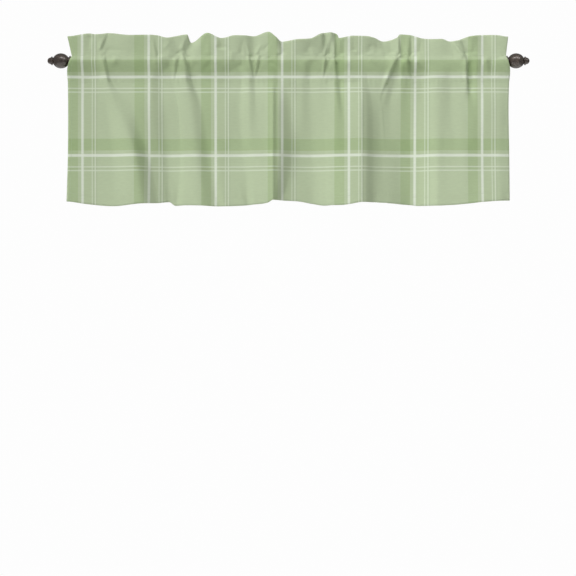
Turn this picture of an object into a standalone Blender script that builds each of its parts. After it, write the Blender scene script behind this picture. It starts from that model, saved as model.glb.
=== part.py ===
"""Window valance hung by its rod pocket on a curtain rod with ball finials.

One length of cloth is folded to the back at its top and sewn down twice. Above the upper seam the two
layers stand up as the heading. Between the two seams they form the pocket that the rod runs through.
Below the lower seam the cloth hangs as a single panel to its hem.

The frame is +Z up, +X to the right and +Y towards the wall. The origin is on the rod's axis, half way
along it. "Out" below means the distance in front of the rod's axis, away from the wall.
"""

import math
from collections import namedtuple

import bmesh
import bpy
import numpy as np

MM = 0.001

# Rod, a steel tube
ROD_DIAMETER = 19.0 * MM
ROD_WALL = 1.0 * MM
ROD_LENGTH = 1197.0 * MM
ROD_SIDES = 32

# Finials
GAP = 0.3 * MM
SPIGOT_LENGTH = 20.0 * MM
BALL_RADIUS = 20.3 * MM
BALL_CENTRE = 27.2 * MM
BALL_NECK_IN = 8.6 * MM
BALL_NECK_OUT = 9.4 * MM
BALL_STEPS = 9
FINIAL_SIDES = 24
SPIGOT_CHAMFER = 1.0 * MM
# The collar by the rod and the button at the tip, as (distance outwards from the mouth, radius) in mm
COLLAR = ((0.0, 11.0), (2.2, 14.8), (3.2, 15.4), (4.3, 14.4), (6.0, 10.8), (7.4, 8.6))
BUTTON = (
    (46.6, 8.3),
    (48.4, 11.0),
    (51.0, 11.9),
    (53.4, 11.0),
    (54.2, 9.9),
    (56.6, 9.2),
    (59.6, 6.9),
    (61.8, 3.6),
    (62.6, 0.0),
)

# Cloth. Where a fold runs steeply away from the front, its thickness from front to back is up to
# STEEP_LIMIT times as much, so that the sheet keeps its thickness across the fold.
CLOTH_THICKNESS = 1.6 * MM
DOUBLED_THICKNESS = 3.2 * MM
THICKNESS = {
    "hem": 2.4 * MM,
    "panel": CLOTH_THICKNESS,
    "seam": DOUBLED_THICKNESS,
    "pocket": CLOTH_THICKNESS,
    "heading": DOUBLED_THICKNESS,
}
HEM_DEPTH = 25.0 * MM
HEM_STEP = 2.0 * MM
STEEP_LIMIT = 2.2
HEADING_SEAM_Z = 13.0 * MM
POCKET_SEAM_Z = -58.0 * MM
FLAP_EDGE_Z = -64.0 * MM
FLAP_STEP_Z = -66.0 * MM
UPPER_LEVEL = 0.217
LOWER_LEVEL = 0.608
POCKET_TOP_Z = 10.7 * MM
POCKET_BOTTOM_Z = -54.5 * MM
TOP_ROUNDING = 1.2 * MM
WIDE_BAND = 24.0 * MM

# The pocket's wall stays this far from the rod's axis, and wider where its mouth goes over the finials
POCKET_RADIUS = 10.4 * MM
MOUTH_RADIUS = 17.0 * MM
MOUTH_START = 560.0 * MM
MOUTH_FULL = 590.0 * MM
MOUTH_BULGE = 7.0 * MM
MOUTH_REACH = 45.0 * MM
WALL_SPARE = 0.2 * MM
BACK_GATHER = 0.4

# Heights between which the pocket's walls curve: the lower seam, below the rod, the rod, the upper seam
POCKET_KNOTS = (POCKET_SEAM_Z, -25.0 * MM, 0.0, HEADING_SEAM_Z)
POCKET_SPREAD_START = 0.35

Heading = namedtuple("Heading", "name x_top z_top out_top x_seam out_seam out_rod")
Panel = namedtuple("Panel", "x_pocket out_pocket x_upper out_upper x_lower out_lower x_hem z_hem out_hem")

# One row for each crest or trough of the folds, from left to right, in millimetres: where it meets the
# top edge, the heading seam and the rod.
HEADING_FOLDS = (
    Heading("left edge", -606, 65, 1, -594, 1, 18),
    Heading("first dip", -547, 73, -6, -545, -2, 13),
    Heading("long fold, foot", -531, 71, 0, -523, 1, 15),
    Heading("long fold, crest", -520, 71, 5, -507, 3, 19),
    Heading("long fold, trough", -494, 74, -5, -501, -3, 12),
    Heading("left puff", -435, 68, 6, -440, 2, 16),
    Heading("second fold, crest", -380, 69, 3, -373, 2, 15),
    Heading("second fold, trough", -363, 68, -5, -363, -3, 12),
    Heading("gather, left crest", -333, 61, 5, -330, 2, 15),
    Heading("gather, left crease", -311, 65, -2, -302, -2, 13),
    Heading("gather, crest", -278, 70, 9, -293, 3, 17),
    Heading("gather, trough", -270, 49, -12, -286, -3, 12),
    Heading("broad lobe", -223, 74, 11, -248, 3, 15),
    Heading("middle dip", -184, 60, -3, -187, -1, 13),
    Heading("pinch, foot", -146, 67, 2, -140, 2, 15),
    Heading("pinch, crest", -118, 67, 7, -111, 3, 18),
    Heading("pinch, trough", -96, 66, -5, -92, -3, 12),
    Heading("lobe, crest", -56, 77, 9, -69, 3, 16),
    Heading("deep fold, crest", -33, 61, 12, -33, 3, 16),
    Heading("deep fold, trough", -18, 51, -8, -23, -3, 13),
    Heading("deep fold, rise", 25, 55, 2, 30, 2, 15),
    Heading("right dip", 58, 57, -3, 56, -2, 13),
    Heading("bow, left crest", 80, 68, 5, 87, 3, 16),
    Heading("bow, left crease", 94, 73, -5, 100, -3, 12),
    Heading("bow, middle", 113, 75, 8, 114, 2, 17),
    Heading("bow, right crease", 127, 71, -6, 128, -3, 12),
    Heading("bow, right crest", 143, 60, 4, 146, 3, 18),
    Heading("wide fold, crest", 190, 63, 2, 193, 2, 15),
    Heading("wide fold, step", 215, 65, -2, 215, 0, 13),
    Heading("wide fold, shelf", 234, 62, 2, 242, 2, 14),
    Heading("slant, dip", 261, 52, -4, 270, -1, 13),
    Heading("slant, crest", 292, 61, 5, 302, 3, 20),
    Heading("slant, trough", 307, 69, -9, 309, -3, 12),
    Heading("small puff", 320, 72, 7, 319, 3, 16),
    Heading("puff, trough", 341, 67, -10, 332, -3, 12),
    Heading("lit fold, foot", 363, 62, 3, 355, 2, 15),
    Heading("lit fold, crest", 396, 60, 5, 391, 2, 15),
    Heading("lit fold, heel", 421, 58, 0, 421, 0, 14),
    Heading("last dip", 443, 51, -3, 446, -1, 13),
    Heading("last pinch, crest", 465, 53, 5, 483, 3, 18),
    Heading("last pinch, crease", 477, 58, -3, 492, -3, 12),
    Heading("end fold, crest", 500, 65, 5, 509, 3, 17),
    Heading("end fold, dip", 539, 69, -3, 542, -2, 13),
    Heading("end puff", 572, 68, 3, 575, 2, 17),
    Heading("right edge", 602, 64, 1, 596, 1, 18),
)

# The same rows below the pocket seam: where each crest or trough crosses the seam, the upper and the
# lower part of the panel, and the hem.
PANEL_FOLDS = (
    Panel(-603, 4, -605, 3, -606, 0, -610, -386, -2),
    Panel(-550, 1, -550, 1, -553, -3, -556, -393, -5),
    Panel(-517, 4, -501, 4, -484, 3, -476, -399, 3),
    Panel(-498, 13, -463, 12, -413, 15, -393, -392, 20),
    Panel(-485, 1, -437, 2, -380, -9, -366, -390, -20),
    Panel(-435, 6, -410, 6, -371, -9, -355, -389, -20),
    Panel(-378, 9, -381, 9, -360, -8, -344, -388, -19),
    Panel(-349, 0, -334, -2, -331, -9, -329, -387, -18),
    Panel(-322, 5, -305, 3, -302, 0, -312, -397, -4),
    Panel(-305, 5, -294, 6, -286, 4, -286, -396, 4),
    Panel(-283, 14, -263, 12, -248, 8, -237, -397, 8),
    Panel(-267, -2, -237, -3, -223, -6, -209, -399, -7),
    Panel(-228, 4, -204, 1, -190, 0, -182, -399, 0),
    Panel(-160, 0, -162, -3, -154, -4, -124, -397, -6),
    Panel(-132, 5, -138, 2, -129, 0, -113, -396, -2),
    Panel(-109, 13, -106, 11, -99, 8, -91, -394, 5),
    Panel(-91, 0, -89, 4, -82, 7, -77, -393, 6),
    Panel(-67, 7, -66, 9, -61, 12, -58, -390, 18),
    Panel(-45, 9, -43, 15, -42, 21, -42, -382, 27),
    Panel(-11, 0, 3, -8, 6, -19, -16, -383, -27),
    Panel(34, 5, 37, 1, 34, -4, 25, -385, -9),
    Panel(59, 0, 59, -3, 63, -6, 66, -392, -7),
    Panel(85, 9, 94, 6, 102, 4, 102, -397, 3),
    Panel(96, 4, 105, 7, 116, 7, 121, -396, 7),
    Panel(117, 11, 129, 10, 138, 10, 143, -396, 11),
    Panel(138, 1, 142, 6, 151, 11, 157, -395, 12),
    Panel(151, 9, 157, 11, 168, 14, 171, -393, 15),
    Panel(201, 8, 202, 15, 203, 21, 204, -388, 24),
    Panel(220, 4, 234, 0, 237, -3, 237, -388, -4),
    Panel(242, 6, 248, 3, 256, -1, 256, -389, -2),
    Panel(256, 5, 253, 3, 264, -2, 265, -389, -3),
    Panel(271, 12, 259, 2, 271, -4, 272, -390, -5),
    Panel(283, -4, 278, -8, 286, -12, 286, -391, -17),
    Panel(315, 6, 303, -4, 308, -10, 311, -393, -14),
    Panel(331, -1, 329, -5, 325, -10, 330, -395, -13),
    Panel(358, 5, 358, 2, 358, 2, 358, -397, 0),
    Panel(410, 13, 413, 14, 413, 17, 413, -398, 19),
    Panel(423, 9, 426, 9, 428, 10, 429, -397, 11),
    Panel(446, 6, 446, 5, 451, 7, 454, -396, 8),
    Panel(488, 10, 480, 8, 484, 9, 487, -393, 9),
    Panel(497, 1, 503, 5, 506, 8, 506, -391, 8),
    Panel(517, 8, 521, 8, 522, 9, 522, -389, 9),
    Panel(539, 4, 539, 4, 542, 4, 545, -387, 4),
    Panel(573, 7, 575, 6, 575, 5, 575, -385, 4),
    Panel(605, 4, 604, 3, 606, 1, 606, -384, 0),
)

# Heights of the rings of points in the pocket, and places of those in the heading and the panel, as
# parts of the way from the heading seam to the top edge and from the pocket seam to the hem.
POCKET_HEIGHTS = tuple(z * MM for z in (-46, -30, -14, -3, 4, 9))
HEADING_PARTS = (0.5,)
PANEL_PARTS = (0.12, 0.26, 0.42, 0.608, 0.8)


def clear_scene():
    """Remove whatever the file holds."""
    for thing in list(bpy.data.objects):
        bpy.data.objects.remove(thing, do_unlink=True)


def material(name, colour, roughness, metallic):
    """A Principled BSDF material of one colour."""
    finish = bpy.data.materials.new(name)
    finish.use_nodes = True
    shader = finish.node_tree.nodes["Principled BSDF"]
    shader.inputs["Base Color"].default_value = (*colour, 1.0)
    shader.inputs["Roughness"].default_value = roughness
    shader.inputs["Metallic"].default_value = metallic
    return finish


def solid(name, points, faces, finish):
    """An object from points and faces, with its faces turned outwards and shaded smooth."""
    mesh = bpy.data.meshes.new(name)
    mesh.from_pydata([tuple(point) for point in points], [], faces)
    shape = bmesh.new()
    shape.from_mesh(mesh)
    bmesh.ops.recalc_face_normals(shape, faces=shape.faces)
    shape.to_mesh(mesh)
    shape.free()
    mesh.shade_smooth()
    mesh.set_sharp_from_angle(angle=math.radians(40))
    mesh.materials.append(finish)
    piece = bpy.data.objects.new(name, mesh)
    bpy.context.collection.objects.link(piece)
    return piece


def turned(name, profile, sides, closed, finish):
    """A profile of (x, radius) points turned about the X axis.

    A closed profile joins its last point to its first, as a tube's wall does. Otherwise its two ends
    lie on the axis.
    """
    rings = profile if closed else profile[1:-1]
    points = []
    for x, radius in rings:
        for step in range(sides):
            turn = 2 * math.pi * step / sides
            points.append((x, radius * math.cos(turn), radius * math.sin(turn)))
    faces = []
    last = len(rings) if closed else len(rings) - 1
    for ring in range(last):
        here = ring * sides
        there = (ring + 1) % len(rings) * sides
        for step in range(sides):
            after = (step + 1) % sides
            faces.append((here + step, here + after, there + after, there + step))
    if not closed:
        for ring, (x, _) in ((0, profile[0]), (len(rings) - 1, profile[-1])):
            points.append((x, 0.0, 0.0))
            for step in range(sides):
                after = (step + 1) % sides
                faces.append((ring * sides + step, ring * sides + after, len(points) - 1))
    return solid(name, points, faces, finish)


def build_rod(finish):
    """The rod: a plain tube."""
    half = ROD_LENGTH / 2
    outer = ROD_DIAMETER / 2
    inner = outer - ROD_WALL
    profile = [(-half, inner), (-half, outer), (half, outer), (half, inner)]
    return turned("rod", profile, ROD_SIDES, True, finish)


def finial_profile():
    """Half outline of a finial as (distance outwards from its mouth, radius), from spigot to tip."""
    spigot = ROD_DIAMETER / 2 - ROD_WALL - GAP
    outline = [
        (-SPIGOT_LENGTH, 0.0),
        (-SPIGOT_LENGTH, spigot - SPIGOT_CHAMFER),
        (-SPIGOT_LENGTH + SPIGOT_CHAMFER, spigot),
        (0.0, spigot),
    ]
    outline += [(along * MM, radius * MM) for along, radius in COLLAR]
    start = math.acos(-math.sqrt(1 - (BALL_NECK_IN / BALL_RADIUS) ** 2))
    end = math.acos(math.sqrt(1 - (BALL_NECK_OUT / BALL_RADIUS) ** 2))
    for step in range(BALL_STEPS + 1):
        turn = start + (end - start) * step / BALL_STEPS
        outline.append((BALL_CENTRE + BALL_RADIUS * math.cos(turn), BALL_RADIUS * math.sin(turn)))
    outline += [(along * MM, radius * MM) for along, radius in BUTTON]
    return outline


def build_finial(name, side, finish):
    """A turned ball finial. Its spigot sits in the rod's end. side is -1 on the left and 1 on the right."""
    mouth = ROD_LENGTH / 2 + GAP
    profile = [(side * (mouth + along), radius) for along, radius in finial_profile()]
    return turned(name, profile, FINIAL_SIDES, False, finish)


def smoothstep(value):
    """0 below 0, 1 above 1, and a smooth rise between."""
    value = np.clip(value, 0.0, 1.0)
    return value * value * (3 - 2 * value)


def through(knots, values, at):
    """A smooth curve through values at the given knots, read at one place.

    Each stretch is a cubic whose slopes at its ends are those of the line between the knots around.
    """
    slopes = []
    for index in range(len(knots)):
        before = max(index - 1, 0)
        after = min(index + 1, len(knots) - 1)
        slopes.append((values[after] - values[before]) / (knots[after] - knots[before]))
    index = min(max(int(np.searchsorted(knots, at, side="right")) - 1, 0), len(knots) - 2)
    width = knots[index + 1] - knots[index]
    part = (at - knots[index]) / width
    square, cube = part * part, part * part * part
    return (
        (2 * cube - 3 * square + 1) * values[index]
        + (cube - 2 * square + part) * width * slopes[index]
        + (3 * square - 2 * cube) * values[index + 1]
        + (cube - square) * width * slopes[index + 1]
    )


def fold_stations():
    """Where the sections lie across the cloth, in rows of the tables: each row, and wide bands halved."""
    stations = []
    for row in range(len(PANEL_FOLDS) - 1):
        here, after = PANEL_FOLDS[row], PANEL_FOLDS[row + 1]
        width = max(after.x_pocket - here.x_pocket, after.x_lower - here.x_lower) * MM
        stations.append(float(row))
        if width > WIDE_BAND:
            stations.append(row + 0.5)
    stations.append(float(len(PANEL_FOLDS) - 1))
    return np.array(stations)


def column(table, field, stations):
    """A column of a table read at the stations, in metres: places straight, distances out rounded."""
    values = np.array([getattr(row, field) for row in table]) * MM
    row = np.minimum(stations.astype(int), len(table) - 2)
    part = stations - row
    if field.startswith("out"):
        part = smoothstep(part)
    return values[row] + (values[row + 1] - values[row]) * part


def between(knots, lines, at):
    """Each station's smooth curve through its own values, one from each line, read at one place."""
    return np.array([through(knots, values, at) for values in zip(*lines)])


def mouth_weight(x):
    """How far a place belongs to the pocket's widened mouth, from 0 inside to 1 at the cloth's edge."""
    return smoothstep((np.abs(x) - MOUTH_START) / (MOUTH_FULL - MOUTH_START))


def clear_rod(distance, x, z, extra):
    """A wall's distances from the rod's axis plane, moved out where the rod or a finial needs the room."""
    radius = POCKET_RADIUS + (MOUTH_RADIUS - POCKET_RADIUS) * mouth_weight(x) + extra
    room = np.sqrt(np.maximum(radius**2 - z**2, 0.0))
    return np.where(np.abs(z) < radius, np.maximum(distance, room), distance)


def levels(stations):
    """The cloth's front as a list of levels from hem to top: (kind, x, out, z), one array each."""
    head = {field: column(HEADING_FOLDS, field, stations) for field in Heading._fields[1:]}
    panel = {field: column(PANEL_FOLDS, field, stations) for field in Panel._fields}
    drop = POCKET_SEAM_Z - panel["z_hem"]
    knots = (0.0, UPPER_LEVEL, LOWER_LEVEL, 1.0)
    along = [panel["x_pocket"], panel["x_upper"], panel["x_lower"], panel["x_hem"]]
    outs = [panel["out_pocket"], panel["out_upper"], panel["out_lower"], panel["out_hem"]]

    def on_panel(kind, z):
        """A level of the panel at height z."""
        parts = (POCKET_SEAM_Z - z) / drop
        x = np.array([through(knots, values, part) for *values, part in zip(*along, parts)])
        out = np.array([through(knots, values, part) for *values, part in zip(*outs, parts)])
        return kind, x, out, z

    flat = np.ones_like(stations)
    result = [on_panel("hem", panel["z_hem"]), on_panel("hem", panel["z_hem"] + HEM_DEPTH)]
    result.append(on_panel("panel", panel["z_hem"] + HEM_DEPTH + HEM_STEP))
    for part in reversed(PANEL_PARTS):
        result.append(on_panel("panel", POCKET_SEAM_Z - part * drop))
    result.append(on_panel("panel", FLAP_STEP_Z * flat))
    result.append(on_panel("seam", FLAP_EDGE_Z * flat))
    result.append(("seam", panel["x_pocket"], panel["out_pocket"], POCKET_SEAM_Z * flat))
    from_edges = np.abs(panel["x_pocket"][[0, -1]][:, None] - panel["x_pocket"])
    near = np.maximum(1 - from_edges / MOUTH_REACH, 0)
    bulge = MOUTH_BULGE * (near[1] ** 2 - near[0] ** 2)
    under = 0.5 * (head["out_rod"] + panel["out_pocket"])
    outs_pocket = [panel["out_pocket"], under, head["out_rod"], head["out_seam"]]
    for z in POCKET_HEIGHTS:
        part = (z - POCKET_SEAM_Z) / (HEADING_SEAM_Z - POCKET_SEAM_Z)
        spread = smoothstep((part - POCKET_SPREAD_START) / (1 - POCKET_SPREAD_START))
        x = panel["x_pocket"] + (head["x_seam"] - panel["x_pocket"]) * spread
        x = x + bulge * math.sin(math.pi * part)
        out = between(POCKET_KNOTS, outs_pocket, z)
        result.append(("pocket", x, clear_rod(out, x, z, CLOTH_THICKNESS + WALL_SPARE), z * flat))
    result.append(("seam", head["x_seam"], head["out_seam"], HEADING_SEAM_Z * flat))
    tall = head["z_top"] - HEADING_SEAM_Z
    for part in (*HEADING_PARTS, 1.0):
        x = head["x_seam"] + (head["x_top"] - head["x_seam"]) * part
        out = head["out_seam"] + (head["out_top"] - head["out_seam"]) * part
        z = HEADING_SEAM_Z + tall * part
        if part == 1.0:
            z = z - TOP_ROUNDING
        result.append(("heading", x, out, z))
    return result


def steepness(x, out):
    """How much longer the folded cloth is than its view from the front, at each point, up to a limit."""
    slope = np.gradient(out, axis=1) / np.maximum(np.gradient(x, axis=1), 1 * MM)
    return np.minimum(np.sqrt(1 + slope**2), STEEP_LIMIT)


def pocket_backs(stations, rows, back, pocket):
    """Move the back's levels in the pocket out behind the rod, in a curve from seam to seam."""
    low, high = pocket[0] - 1, pocket[-1] + 1
    gathered = column(HEADING_FOLDS, "out_rod", stations) - POCKET_RADIUS
    behind_rod = POCKET_RADIUS + CLOTH_THICKNESS + BACK_GATHER * gathered
    behind = [back[low], 0.5 * (back[low] + behind_rod), behind_rod, back[high]]
    for level in pocket:
        _, x, _, z = rows[level]
        curve = between(POCKET_KNOTS, behind, z[0])
        back[level] = clear_rod(curve, x, z, CLOTH_THICKNESS + WALL_SPARE)


def build_cloth(finish):
    """The valance: one closed section from hem to heading and back, joined from station to station."""
    stations = fold_stations()
    rows = levels(stations)
    kinds = [row[0] for row in rows]
    x, out, z = (np.array([row[part] for row in rows]) for part in (1, 2, 3))
    steep = steepness(x, out)
    back = np.array([steep[level] * THICKNESS[kind] - out[level] for level, kind in enumerate(kinds)])
    pocket = [level for level, kind in enumerate(kinds) if kind == "pocket"]
    pocket_backs(stations, rows, back, pocket)
    low, high = pocket[0] - 1, pocket[-1] + 1
    layer = steep * CLOTH_THICKNESS
    points = []

    def ring(level, ys, height=None):
        """Add one point at each station of a level, and return the number of the first."""
        first = len(points)
        zs = z[level] if height is None else np.full(len(stations), height)
        points.extend(zip(x[level], ys, zs))
        return first

    fronts = [ring(level, -out[level]) for level in range(len(rows))]
    backs = [ring(level, back[level]) for level in range(len(rows))]
    hole_fronts = [ring(k, -clear_rod(out[k] - layer[k], x[k], z[k], 0.0)) for k in pocket]
    hole_backs = [ring(k, clear_rod(back[k] - layer[k], x[k], z[k], 0.0)) for k in pocket]
    middle = (back - out) / 2
    bottom = ring(low, middle[low], POCKET_BOTTOM_Z)
    apex = ring(high, middle[high], POCKET_TOP_Z)
    top = len(points)
    points.extend(zip(x[-1], middle[-1], z[-1] + TOP_ROUNDING))
    outside = [*fronts, top, *reversed(backs)]
    inside = [bottom, *hole_backs, apex, *reversed(hole_fronts)]
    faces = []
    for loop in (outside, inside):
        for here, there in zip(loop, loop[1:] + loop[:1]):
            for station in range(len(stations) - 1):
                after = station + 1
                faces.append((here + station, there + station, there + after, here + after))
    walls = ((fronts, hole_fronts), (backs, hole_backs))
    for end in (0, len(stations) - 1):
        faces += end_faces(end, walls, top, bottom, apex, low, high)
    return solid("valance_cloth", points, faces, finish)


def end_faces(end, walls, top, bottom, apex, low, high):
    """The faces that close the cloth's wall at one of its side edges.

    Levels up to low and from high lie outside the pocket, where the front and the back are joined
    straight across. Between them each wall is joined to its own side of the pocket.
    """
    (front, _), (back, _) = walls
    faces = []
    for level in list(range(low)) + list(range(high, len(front) - 1)):
        faces.append((front[level], front[level + 1], back[level + 1], back[level]))
    faces.append((front[-1], top, back[-1]))
    for outer, holes in walls:
        chain = [bottom, *holes, apex]
        for step in range(len(chain) - 1):
            faces.append((outer[low + step], outer[low + step + 1], chain[step + 1], chain[step]))
    faces.append((front[low], bottom, back[low]))
    faces.append((front[high], apex, back[high]))
    return [tuple(corner + end for corner in face) for face in faces]


def main():
    clear_scene()
    bronze = material("oil_rubbed_bronze_paint", (0.045, 0.033, 0.028), 0.38, 0.6)
    cloth = material("plaid_cloth", (0.40, 0.53, 0.30), 0.85, 0.0)
    build_rod(bronze)
    build_finial("finial_left", -1, bronze)
    build_finial("finial_right", 1, bronze)
    build_cloth(cloth)


main()
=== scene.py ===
"""Looks of a window valance that hangs by its rod pocket on a curtain rod with ball finials.

The valance is one length of plaid cloth. Its top is folded to the back and sewn down twice: above the
upper seam the two layers stand as the heading, and between the seams they form the pocket for the rod.
Its side and bottom edges are hemmed. The frame is +Z up, +X to the right, +Y towards the wall, with the
origin on the rod's axis half way along it. "Out" means the distance in front of the rod's axis.
"""

import math
from collections import namedtuple

import bpy
import numpy as np
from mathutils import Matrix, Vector


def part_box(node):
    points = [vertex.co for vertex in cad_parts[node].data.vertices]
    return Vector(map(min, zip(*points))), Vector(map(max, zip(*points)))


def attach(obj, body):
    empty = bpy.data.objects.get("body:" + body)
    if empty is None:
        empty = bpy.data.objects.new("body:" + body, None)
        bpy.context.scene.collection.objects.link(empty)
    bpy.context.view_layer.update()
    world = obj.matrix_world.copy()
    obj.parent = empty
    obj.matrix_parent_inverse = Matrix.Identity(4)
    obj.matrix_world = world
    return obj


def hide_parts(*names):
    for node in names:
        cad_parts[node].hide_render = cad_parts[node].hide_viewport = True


bl_info = {
    "name": "Window valance on a curtain rod",
    "version": (1, 0, 0),
    "blender": (4, 5, 0),
    "location": "3D View > Sidebar > Valance",
    "description": "Builds a rod pocket valance, its sewing, the rod's finish, the finials and a studio",
    "category": "Object",
}

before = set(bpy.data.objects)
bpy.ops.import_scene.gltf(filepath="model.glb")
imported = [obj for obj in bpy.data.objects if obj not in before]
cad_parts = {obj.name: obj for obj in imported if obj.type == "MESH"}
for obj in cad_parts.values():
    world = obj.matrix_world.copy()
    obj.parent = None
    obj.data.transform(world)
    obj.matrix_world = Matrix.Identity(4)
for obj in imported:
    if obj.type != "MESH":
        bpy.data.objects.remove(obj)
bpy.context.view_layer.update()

MM = 0.001

# Way of the key light, down from the upper left and in front
KEY_DIRECTION = (0.6, 0.6, -0.68)
# Way of the weaker light from behind, which the front of the cloth hides
BACK_DIRECTION = (-0.5, -0.75, -0.45)
# Middle of the long soft box in front of the right half, which is a little brighter than the left
SIDE_LAMP = (0.75, -1.3, 1.35)

# Sizes of the rod and its finials, the same as the frame's
ROD_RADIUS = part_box("rod")[1].z
ROD_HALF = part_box("rod")[1].x
MOUTH_GAP = 0.3 * MM
SPIGOT_RADIUS = 8.2 * MM
SPIGOT_LENGTH = 20.0 * MM
FINIAL_SIDES = 96
BALL_RADIUS = 20.6
BALL_LENGTHENED = 1.12
BALL_CENTRE = 26.9
BALL_NECK_IN = 11.0
BALL_NECK_OUT = 9.0

# Levels of the cloth, as heights above the rod's axis
HEADING_SEAM_Z = 13.0 * MM
POCKET_SEAM_Z = -58.0 * MM
FLAP_EDGE_Z = -64.0 * MM
TOP_MEAN = 66.0 * MM
POCKET_KNOTS = (POCKET_SEAM_Z, -36.0 * MM, -3.0 * MM, HEADING_SEAM_Z)
UNDER_ROD = 0.15
PANEL_KNOTS = (0.0, 0.217, 0.608, 1.0)
HEM_DEPTH = 25.0 * MM
SIDE_HEM = 12.0 * MM
SIDE_HEM_GAP = 0.8 * MM

# The pocket's wall stays this far from the rod's axis, and wider where its mouth covers a finial's collar
POCKET_RADIUS = 10.6 * MM
MOUTH_RADIUS = 15.6 * MM
MOUTH_START = 560.0 * MM
MOUTH_FULL = 590.0 * MM
MOUTH_BULGE = 6.5 * MM
MOUTH_REACH = 45.0 * MM
BACK_GATHER = 0.4

# Gaps between the layers of the cloth, from mid-line to mid-line
LAYER_GAP = 0.95 * MM
HEM_GAP = 1.5 * MM
HEADING_GAP = 2.4 * MM
SEAM_DIP = 1.4 * MM
SEAM_REACH = 5.0 * MM

# Seams: how deep and wide the groove is that the stitches pull, and the puckers beside it. The ripple's
# waves are pairs of a length in millimetres and a turn.
HEM_STITCH = 22.5 * MM
SIDE_STITCH = 10.0 * MM
GROOVE_DEPTH = 0.12 * MM
GROOVE_WIDTH = 2.2 * MM
PUCKER = 0.5 * MM
PUCKER_REACH = 9.0 * MM
SEAM_WAVES = ((12.3, 0.4), (17.1, 2.1), (26.7, 4.0), (41.0, 1.3))

# A stitch as three rings of STITCH_SIDES points: their places along it and their radii, with its length,
# width and height as 1
STITCH_SIDES = 6
STITCH_RINGS = ((-0.34, 0.8), (0.0, 1.0), (0.34, 0.8))
STITCH_WIDTH = 0.7 * MM
STITCH_HEIGHT = 0.5 * MM
STITCH_PART = 0.8

# Grid lines of the cloth: how far apart they lie across it, as a length and as a part of a crease's width, and how many
# rows each part of the front has. The pocket's and the heading's backs have every second of their rows.
COLUMN_SPACING = 8.0 * MM
CREASE_STEP = 0.68
HEM_ROWS = 6
PANEL_ROWS = 24
POCKET_ROWS = 24
HEADING_ROWS = 20

Heading = namedtuple("Heading", "name x_top z_top out_top x_seam out_seam out_rod")
Panel = namedtuple("Panel", "x_pocket out_pocket x_upper out_upper x_lower out_lower x_hem z_hem out_hem")

# One row for each crest or trough of the folds, from left to right, in millimetres: where it meets the
# top edge, the heading seam and the rod.
HEADING_FOLDS = (
    Heading("left edge", -606, 65, 12.5, -594, 11.5, 16.5),
    Heading("first dip", -547, 73, 11, -545, 10.5, 13.5),
    Heading("long fold, foot", -531, 71, 11, -523, 10.5, 14.5),
    Heading("long fold, crest", -520, 71, 13, -507, 11.5, 16.5),
    Heading("long fold, trough", -494, 74, 10, -501, 9.5, 12.5),
    Heading("left puff", -435, 68, 17, -440, 12, 14),
    Heading("second fold, crest", -380, 69, 14.5, -373, 12.5, 15),
    Heading("second fold, trough", -363, 68, 13.5, -356, 11.5, 17),
    Heading("gather, left crest", -333, 61, 15.5, -330, 12.5, 11.5),
    Heading("gather, left crease", -311, 65, 11.5, -302, 8, 13),
    Heading("gather, crest", -278, 70, 12.5, -291, 8, 13.5),
    Heading("gather, trough", -268, 49, 1.5, -284, 6.5, 12),
    Heading("broad lobe", -223, 74, 15.5, -248, 10.5, 14.5),
    Heading("middle dip", -184, 60, 14, -187, 11.5, 14),
    Heading("pinch, foot", -146, 67, 19, -140, 12.5, 11),
    Heading("pinch, crest", -118, 67, 15.5, -111, 9.5, 12.5),
    Heading("pinch, trough", -96, 66, 6.5, -94, 5.5, 10.5),
    Heading("lobe, crest", -56, 77, 15.5, -69, 8, 11),
    Heading("deep fold, crest", -33, 61, 21, -33, 10.5, 13),
    Heading("deep fold, trough", -18, 51, 9, -23, 9.5, 12),
    Heading("deep fold, rise", 25, 55, 26, 30, 13.5, 13.5),
    Heading("right dip", 58, 57, 24, 56, 12.5, 14.5),
    Heading("bow, left crest", 89, 71, 22, 93, 11.5, 13.5),
    Heading("bow, left crease", 100, 74, 13, 106, 6, 11),
    Heading("bow, middle", 116, 75, 18.5, 119, 8, 12.5),
    Heading("bow, right crease", 131, 72, 10.5, 133, 4.5, 10.5),
    Heading("bow, right crest", 137, 60, 12.5, 152, 8, 13),
    Heading("wide fold, crest", 176, 66, 16, 193, 9.5, 13.5),
    Heading("wide fold, step", 215, 65, 17, 215, 11.5, 14),
    Heading("wide fold, shelf", 234, 62, 10.5, 242, 9, 14),
    Heading("slant, dip", 261, 52, 2.5, 270, 4.5, 13.5),
    Heading("slant, crest", 298, 62, 6.5, 300, 8, 15),
    Heading("slant, trough", 306, 71, 6, 312, 5.5, 11.5),
    Heading("small puff", 330, 70, 4.5, 325, 3, 15.5),
    Heading("puff, trough", 350, 65, 5.5, 341, 4.5, 12),
    Heading("lit fold, foot", 368, 60, 5, 357, 6, 11.5),
    Heading("lit fold, crest", 396, 58, 8.5, 391, 8.5, 13),
    Heading("lit fold, heel", 421, 58, 11.5, 421, 8.5, 12),
    Heading("last dip", 443, 51, 9.5, 446, 8, 12),
    Heading("last pinch, crest", 465, 53, 18, 483, 13.5, 14),
    Heading("last pinch, crease", 477, 58, 12.5, 492, 9.5, 11.5),
    Heading("end fold, crest", 500, 65, 16.5, 509, 12.5, 13),
    Heading("end fold, dip", 539, 69, 8.5, 542, 9.5, 12),
    Heading("end puff", 572, 68, 13.5, 575, 11.5, 12.5),
    Heading("right edge", 602, 64, 12.5, 596, 11.5, 16.5),
)

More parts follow.
